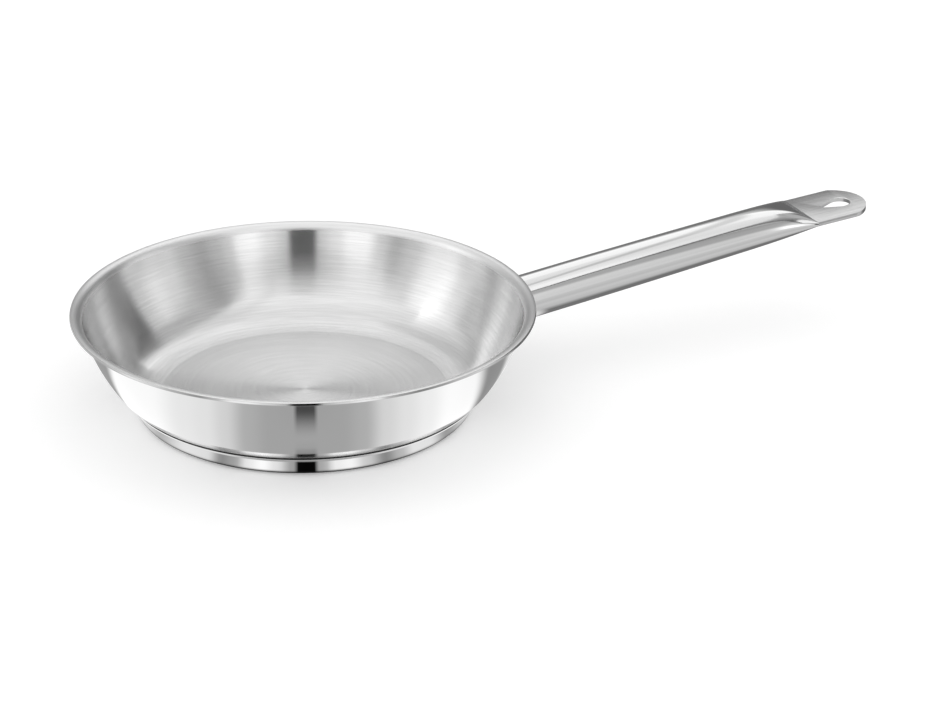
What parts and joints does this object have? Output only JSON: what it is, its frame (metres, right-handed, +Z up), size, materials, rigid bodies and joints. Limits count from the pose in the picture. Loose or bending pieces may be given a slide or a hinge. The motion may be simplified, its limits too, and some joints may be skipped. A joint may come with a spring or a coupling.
{
  "type": "frying pan",
  "caption": "Round shallow steel frying pan with curved sides, a rolled pouring rim, a thick sandwich base and a long tube handle pressed flat at its tip for hanging.",
  "frame": {"origin": "centre of the flat underside of the base, on the pan's axis", "axes": "+Z up along the pan's axis, +X along the handle towards its tip, +Y to the left of the handle seen from above with the tip pointing away"},
  "size_m": [0.4519, 0.24, 0.067],
  "materials": {
    "body_steel": "mirror polished outside, fine circular brushing inside",
    "core_aluminium": "plain rolled",
    "cap_steel": "mirror polished",
    "bracket_steel": "satin",
    "handle_steel": "polished tube, brushed along its length at the tab",
    "weld_steel": "ground weld"
  },
  "bodies": {
    "root": {"pan_body": "body_steel", "base_core": "core_aluminium", "base_cap": "cap_steel", "handle_bracket": "bracket_steel", "handle_tube": "handle_steel", "weld_bead": "weld_steel"}
  },
  "joints": []
}
